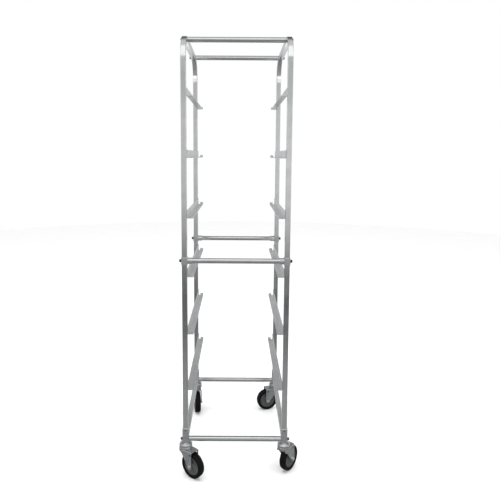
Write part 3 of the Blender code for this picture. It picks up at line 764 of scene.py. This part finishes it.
def lower_raceway():
    """The round plate pressed into the crown, a little thinner than its sheet."""
    low, high = FORK_TOP - FORK_SHEET + 0.3 * MM, FORK_TOP - 0.3 * MM
    return turned(
        [(0.0, low), (RACEWAY_RADIUS - 1 * MM, low), (RACEWAY_RADIUS, low + 0.8 * MM),
         (RACEWAY_RADIUS, high - 0.9 * MM), (RACEWAY_RADIUS - 0.9 * MM, high), (0.0, high)], 64)


def make_fork(corner, finish):
    """Stamped sheet bent down over the wheel: crown, two cheeks and the lower raceway."""
    heading, offset, axle_z = caster_places(corner)[1:]
    spare = 5 * MM
    stop = offset + FORK_BOSS + spare
    shape = fork_channel(-CROWN_RADIUS - spare, stop, axle_z - FORK_BOSS - spare)
    shape = combined(shape, cheek_profile(offset, axle_z), "INTERSECT")
    shape = combined(shape, crown_plan(stop), "INTERSECT")
    shape = combined(shape, lower_raceway(), "UNION")
    for radius, z in ((AXLE_HOLE_RADIUS, axle_z), CHEEK_HOLE):
        hole = rod_shape(radius, (offset, -2 * FORK_OUTER, z), (offset, 2 * FORK_OUTER, z), 28)
        shape = combined(shape, hole, "DIFFERENCE")
    pin_hole = rod_shape(
        PIN_HOLE_RADIUS, (0, 0, FORK_TOP - 3 * FORK_SHEET), (0, 0, FORK_TOP + 3 * FORK_SHEET), 28)
    shape = combined(shape, pin_hole, "DIFFERENCE")
    placed(shape, heading)
    finished(
        shape, f"caster_yoke_{corner}", finish, f"swivel_{corner}",
        [f"caster_fork_{corner}"], bevel=0.5 * MM)


AXLE_RADIUS = 5.7 * MM
AXLE_HEAD_RADIUS = 9.5 * MM
AXLE_HEAD_HEIGHT = 5.2 * MM


def make_axle(corner, finish):
    """Axle bolt: a hexagon head on one side and a lock nut on the other."""
    heading, offset, axle_z = caster_places(corner)[1:]
    seat = FORK_OUTER + 0.3 * MM
    shape = rod_shape(AXLE_RADIUS, (0, 0, -seat - 1 * MM), (0, 0, seat + 1 * MM), 32)
    head, nut = (
        moved(hexagon_head(AXLE_HEAD_RADIUS, AXLE_HEAD_HEIGHT), (0, 0, seat)) for _ in range(2))
    placed(nut, Matrix.Rotation(math.pi, 4, "X") @ Matrix.Rotation(0.35, 4, "Z"))
    shape = combined(combined(shape, head, "UNION"), nut, "UNION")
    place = heading @ Matrix.Translation((offset, 0, axle_z)) @ Matrix.Rotation(
        math.pi / 2, 4, "X")
    placed(shape, place)
    finished(
        shape, f"axle_bolt_{corner}", finish, f"swivel_{corner}",
        [f"caster_axle_{corner}"], smooth_angle=30)


def both_sides(side):
    """One side of a wheel part's section, in mm, with its mirror image after it."""
    return (
        [(radius * MM, z * MM) for radius, z in side]
        + [(radius * MM, -z * MM) for radius, z in reversed(side)])


def make_wheel(corner, tread_finish, core_finish, hub_finish):
    """Tread with round shoulders on a dished core, and a steel bearing in the hub."""
    heading, offset, axle_z = caster_places(corner)[1:]
    place = heading @ Matrix.Translation((offset, 0, axle_z)) @ Matrix.Rotation(
        math.pi / 2, 4, "X")
    # Each side is given as radius and distance from the wheel's middle, in mm.
    tread_side = [
        (46.0, 12.6), (47.2, 13.4), (48.2, 14.9), (50.0, 15.7), (54.0, 16.3), (57.2, 16.9),
        (58.6, 17.0), (60.6, 16.4), (62.2, 14.9), (63.1, 12.8), (63.4, 10.0), (63.5, 5.0)]
    core_side = [
        (9.6, 18.0), (10.2, 19.0), (14.8, 19.0), (15.8, 18.4), (16.4, 16.8), (17.6, 13.6),
        (20.0, 12.0), (25.0, 11.2), (34.0, 11.0), (38.4, 11.4), (40.4, 12.6), (41.4, 13.9),
        (43.4, 14.2), (45.0, 13.8), (45.9, 12.6)]
    hub_side = [(6.2, 19.0), (9.0, 19.0), (9.5, 18.6), (9.5, 17.6)]
    node = [f"caster_wheel_{corner}"]
    for name, side, segments, finish, stands_for in (
            ("tread", tread_side, 96, tread_finish, node),
            ("wheel_core", core_side, 96, core_finish, node),
            ("wheel_bearing", hub_side, 48, hub_finish, ())):
        part = placed(turned(both_sides(side), segments, closed=True), place)
        finished(
            part, f"{name}_{corner}", finish, f"wheel_{corner}", stands_for,
            smooth_angle=50)


# ---- Floor, light and camera ------------------------------------------------------

def make_floor():
    """A plain pale floor that fades into the backdrop."""
    made, tree = new_material("pale_studio_floor")
    place = add_node(tree, "ShaderNodeTexCoord").outputs["Object"]
    mottle = add_node(
        tree, "ShaderNodeTexNoise",
        {"Vector": place, "Scale": 1 / (300 * MM), "Detail": 3.0}).outputs["Fac"]
    colour = ramp(tree, mottle, [(0.3, "#F6F6F6"), (0.7, "#FAFAFA")])
    shader = add_node(
        tree, "ShaderNodeBsdfPrincipled",
        {"Base Color": colour, "Roughness": 0.95, "Specular IOR Level": 0.1,
         "Emission Color": (1, 1, 1, 1), "Emission Strength": 0.07})
    finish_material(tree, shader)
    mesh = bpy.data.meshes.new("studio_floor")
    shape = bmesh.new()
    bmesh.ops.create_circle(shape, cap_ends=True, segments=96, radius=9.0)
    shape.to_mesh(mesh)
    shape.free()
    mesh.materials.append(made)
    floor = bpy.data.objects.new("studio_floor", mesh)
    bpy.context.scene.collection.objects.link(floor)
    floor.visible_glossy = False


STUDIO_STRENGTH = 1.25

# Tones of the studio that the metal mirrors, by degrees above the horizon.
NEAR_FLOOR_TONES = [(-90, "#7E7E7E"), (-50, "#848484"), (-27, "#919191"), (-23.5, "#868686")]
UPPER_TONES = [
    (11, "#929292"), (15, "#A8A8A8"), (66, "#A8A8A8"), (74, "#C8C8C8"), (90, "#BEBEBE")]
FRONT_LEFT_TONES = [
    *NEAR_FLOOR_TONES, (-21.5, "#484848"), (-13.5, "#484848"), (-10, "#9A9A9A"),
    (-5, "#B4B4B4"), (5, "#C0C0C0"), (8, "#9A9A9A"), *UPPER_TONES]
FRONT_RIGHT_TONES = [
    *NEAR_FLOOR_TONES, (-21.5, "#484848"), (-13.5, "#525252"), (-10, "#B4B4B4"),
    (-5, "#CACACA"), (5, "#CECECE"), (8, "#A0A0A0"), *UPPER_TONES]
BACK_TONES = [
    (-90, "#7E7E7E"), (-38, "#8B8B8B"), (-26, "#B7B7B7"), (-8, "#C2C2C2"),
    (8, "#BEBEBE"), (27, "#B9B9B9"), (32, "#6C6C6C"), (38, "#3E3E3E"), (62, "#343434"),
    (72, "#4B4B4B"), (80, "#919191"), (90, "#BEBEBE")]


def tones_by_height(tree, level, tones):
    """A ramp over the sine of the height, from stops given in degrees."""
    return ramp(
        tree, level, [((math.sin(math.radians(degrees)) + 1) / 2, tone) for degrees, tone in tones])


def make_world():
    """White backdrop. What mirrors it sees a studio whose tone changes with height."""
    world = bpy.data.worlds.new("white_studio")
    world.use_nodes = True
    bpy.context.scene.world = world
    tree = world.node_tree
    tree.nodes.clear()
    direction = add_node(tree, "ShaderNodeTexCoord").outputs["Generated"]
    axes = add_node(tree, "ShaderNodeSeparateXYZ", {"Vector": direction})
    level = add_node(
        tree, "ShaderNodeMapRange",
        {"Value": axes.outputs["Z"], "From Min": -1.0, "From Max": 1.0}).outputs["Result"]
    front_left, front_right, back = (
        tones_by_height(tree, level, tones)
        for tones in (FRONT_LEFT_TONES, FRONT_RIGHT_TONES, BACK_TONES))
    to_right = add_node(
        tree, "ShaderNodeMapRange",
        {"Value": axes.outputs["X"], "From Min": -0.1, "From Max": 0.1}).outputs["Result"]
    front = add_node(
        tree, "ShaderNodeMixRGB",
        {"Fac": to_right, "Color1": front_left, "Color2": front_right}).outputs["Color"]
    behind = add_node(
        tree, "ShaderNodeMapRange",
        {"Value": axes.outputs["Y"], "From Min": 0.1, "From Max": 0.7}).outputs["Result"]
    room = add_node(
        tree, "ShaderNodeMixRGB", {"Fac": behind, "Color1": front, "Color2": back})
    path = add_node(tree, "ShaderNodeLightPath")
    seen = add_node(
        tree, "ShaderNodeMath",
        {0: path.outputs["Is Camera Ray"], 1: path.outputs["Is Diffuse Ray"]},
        operation="MAXIMUM").outputs["Value"]
    studio = add_node(
        tree, "ShaderNodeBackground", {"Color": room.outputs["Color"], "Strength": STUDIO_STRENGTH})
    white = add_node(
        tree, "ShaderNodeBackground", {"Color": (1, 1, 1, 1), "Strength": 1.0})
    mixed = add_node(
        tree, "ShaderNodeMixShader",
        {0: seen, 1: studio.outputs["Background"], 2: white.outputs["Background"]})
    add_node(tree, "ShaderNodeOutputWorld", {"Surface": mixed.outputs["Shader"]})


def add_softbox(name, location, target, width, height, power):
    light = bpy.data.lights.new(name, "AREA")
    light.shape = "RECTANGLE"
    light.size, light.size_y = width, height
    light.energy = power
    lamp = bpy.data.objects.new(name, light)
    lamp.location = location
    aim = Vector(target) - Vector(location)
    lamp.rotation_euler = aim.to_track_quat("-Z", "Y").to_euler()
    bpy.context.scene.collection.objects.link(lamp)
    return lamp


def add_card(name, location, target, width, height, radiance):
    """A panel of even brightness that is only there to be mirrored."""
    card = add_softbox(
        name, location, target, width, height, radiance * math.pi * width * height)
    card.visible_diffuse = False
    card.visible_camera = False


def make_glint_cards():
    """A small bright card under the top of each side frame, for the white glint at the
    foot of the rear bend. It faces up and backwards, so that little else mirrors it."""
    width, length, slope = 0.08, 0.368, 0.2065
    outwards, backwards, below_top = 0.037, 0.030, 0.0828
    for side, sign in SIDES.items():
        low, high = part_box(f"side_frame_{side}")
        place = Vector((
            (low.x + high.x) / 2 + sign * outwards, (low.y + high.y) / 2 + backwards,
            high.z - below_top))
        add_card(
            f"{side}_glint_card", place, place + Vector((0.0, slope, 1.0)), width, length, 1.05)


def make_lights():
    # The near white ceiling that only the upper parts of the rack mirror.
    add_card("ceiling_panel", (0.0, -1.75, 2.75), (0.0, -1.75, 0.0), 3.4, 2.4, 0.70)
    overhead = add_softbox(
        "overhead_softbox", (0.0, -0.4, 4.6), (0.0, 0.0, 0.0), 3.6, 3.2, 110)
    overhead.visible_glossy = False
    make_glint_cards()
    add_softbox("left_softbox", (-3.2, -2.0, 2.6), (0.0, 0.0, 1.0), 1.6, 2.4, 12)
    add_softbox("right_softbox", (3.4, -1.6, 2.4), (0.0, 0.0, 1.0), 1.4, 2.4, 10)


CAMERA_DISTANCE = 2.5673      # in front of the point midway between the four legs
CAMERA_OFF_CENTRE = 0.0051
CAMERA_HEIGHT = 1.6078
CAMERA_LOOKS_DOWN = math.radians(6.556)
CAMERA_ROLL = math.radians(0.313)


def make_camera():
    left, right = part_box("side_frame_left"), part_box("side_frame_right")
    middle = (left[0] + right[1]) / 2
    data = bpy.data.cameras.new("camera")
    data.sensor_width = 36.0
    data.lens = 34.135
    data.shift_x = 0.02568
    data.shift_y = -0.08
    camera = bpy.data.objects.new("camera", data)
    camera.location = (
        middle.x + CAMERA_OFF_CENTRE, middle.y - CAMERA_DISTANCE, CAMERA_HEIGHT)
    tilt = Matrix.Rotation(math.pi / 2 - CAMERA_LOOKS_DOWN, 4, "X")
    roll = Matrix.Rotation(CAMERA_ROLL, 4, "Z")
    camera.rotation_euler = (tilt @ roll).to_euler()
    bpy.context.scene.collection.objects.link(camera)
    bpy.context.scene.camera = camera


# ---- The whole rack ---------------------------------------------------------------

def make_rack():
    finish = make_finishes()
    for side in SIDES:
        make_side_frame(side, finish["tube"])
        make_side_rail(side, finish["tube"])
        make_runner_welds(side, finish["weld"])
        for level in LEVELS:
            make_runner(level, side, finish["runner"])
    for kind in BAR_KINDS:
        for end in ENDS:
            make_bar(kind, end, finish["bar"])
        for corner in CORNERS:
            make_bolt(kind, corner, finish["dark_zinc"])
    for corner in CORNERS:
        make_saddle(corner, finish["cast"])
        make_leg_socket(corner, finish["cast"], finish["dark_zinc"])
        make_caster_top(corner, finish["zinc"])
        make_fork(corner, finish["zinc"])
        # The axle bolts take a lighter copy of the zinc, which is a painted highlight.
        make_axle(corner, finish["zinc_painted_highlight"])
        make_wheel(corner, finish["rubber"], finish["core"], finish["zinc"])


make_rack()
make_floor()
make_world()
make_lights()
make_camera()
bpy.context.scene.view_settings.view_transform = "Standard"
